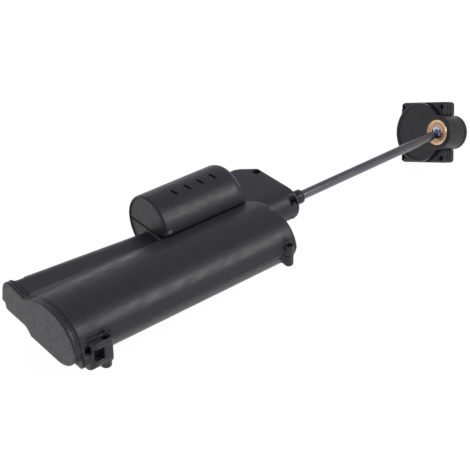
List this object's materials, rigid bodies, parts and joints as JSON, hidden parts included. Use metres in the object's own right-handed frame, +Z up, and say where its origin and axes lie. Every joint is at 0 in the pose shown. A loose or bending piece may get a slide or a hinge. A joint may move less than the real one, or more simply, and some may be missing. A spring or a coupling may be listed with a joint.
{
  "type": "linear actuator",
  "caption": "Battery linear actuator: long lobed casing with a motor barrel, parallel lead screw drive, slim push rod and a swivelling ball-joint wall bracket.",
  "frame": {"origin": "midway between the two rear ear holes, on the plane under the ears", "axes": "+X along the push rod away from the casing, +Y towards the motor barrel, +Z up, along the ear holes"},
  "size_m": [0.5773, 0.1504, 0.1108],
  "materials": {
    "shell_black": "satin charcoal black, fine moulded texture",
    "collar_black": "satin black",
    "screw_black": "blackened steel",
    "bush_bronze": "sintered bronze",
    "ring_brass": "rose-gold brass, polished",
    "liner_copper": "copper-coloured bearing liner",
    "seal_rubber": "black rubber",
    "plate_aluminium": "machined",
    "bearing_steel": "ground steel",
    "block_plastic": "glass-filled nylon",
    "rail_steel": "ground steel",
    "switch_black": "moulded",
    "plunger_red": "moulded",
    "cell_blue": "shrink sleeve",
    "strap_nickel": "nickel strip",
    "board_green": "solder mask",
    "capacitor_sleeve": "shrink sleeve",
    "relay_orange": "moulded",
    "motor_steel": "zinc plated",
    "gearhead_grey": "die cast",
    "screw_steel": "rolled",
    "gear_nylon": "natural acetal",
    "rod_dark": "polished dark gunmetal",
    "carriage_white": "acetal",
    "ball_steel": "polished, blue-grey",
    "seat_nylon": "acetal",
    "bracket_black": "satin black"
  },
  "bodies": {
    "housing": {"upper_housing": "shell_black", "lower_housing": "shell_black", "rear_cap": "shell_black", "motor_cover": "shell_black", "motor_tail_cap": "shell_black", "housing_screws": "screw_black", "front_bush": "bush_bronze", "nose_collar": "collar_black", "wiper_seal": "seal_rubber", "gear_plate": "plate_aluminium", "plate_screws": "screw_black", "bearing_outer_race": "bearing_steel", "bearing_balls": "bearing_steel", "rear_block": "block_plastic", "rear_bush": "bush_bronze", "guide_rail": "rail_steel", "limit_switches": "switch_black", "switch_plungers": "plunger_red", "battery_cells": "cell_blue", "battery_end_plates": "block_plastic", "battery_straps": "strap_nickel", "control_board": "board_green", "board_capacitors": "capacitor_sleeve", "board_relays": "relay_orange", "board_chip": "switch_black", "board_posts": "block_plastic", "motor_can": "motor_steel", "motor_end_bell": "switch_black", "motor_terminals": "bush_bronze", "gearhead": "gearhead_grey", "motor_saddle": "seal_rubber"},
    "screw": {"leadscrew": "screw_steel", "screw_gear": "gear_nylon", "bearing_inner_race": "bearing_steel", "screw_locknut": "screw_black"},
    "output": {"output_shaft": "rail_steel", "pinion": "bush_bronze"},
    "rod": {"push_rod": "rod_dark", "carriage": "carriage_white", "drive_nut": "bush_bronze", "rod_locknut": "screw_black", "ball_stud": "ball_steel"},
    "race": {"inner_race": "bearing_steel"},
    "liner": {"ball_liner": "liner_copper"},
    "bracket": {"socket_housing": "bracket_black", "base_block": "bracket_black", "brass_ring": "ring_brass", "rear_seat": "seat_nylon", "preload_washer": "rail_steel", "barrel_cap": "bracket_black", "bracket_screws": "screw_black"}
  },
  "joints": [
    {"name": "rod_extend", "type": "slide", "parent": "housing", "child": "rod", "axis": [1, 0, 0], "range_m": [-0.15, 0]},
    {"name": "screw_turn", "type": "hinge", "parent": "housing", "child": "screw", "pos_m": [0.1, 0.029, 0.024], "axis": [1, 0, 0], "range_deg": [-6760, 10]},
    {"name": "output_turn", "type": "hinge", "parent": "housing", "child": "output", "pos_m": [0.22, 0.041, 0.033], "axis": [1, 0, 0], "range_deg": [-25, 15775]},
    {"name": "ball_roll", "type": "hinge", "parent": "rod", "child": "race", "pos_m": [0.511, 0.011, 0.025], "axis": [1, 0, 0], "continuous": true},
    {"name": "ball_pitch", "type": "hinge", "parent": "race", "child": "liner", "pos_m": [0.511, 0.011, 0.025], "axis": [0, 1, 0], "range_deg": [-37, 2]},
    {"name": "ball_yaw", "type": "hinge", "parent": "liner", "child": "bracket", "pos_m": [0.511, 0.011, 0.025], "axis": [0, 0, 1], "range_deg": [-8, 16]}
  ],
  "couplings": [
    {"joint": "screw_turn", "follows": "rod_extend", "rad_per_m": 785.4},
    {"joint": "output_turn", "follows": "rod_extend", "rad_per_m": -1832.6}
  ]
}
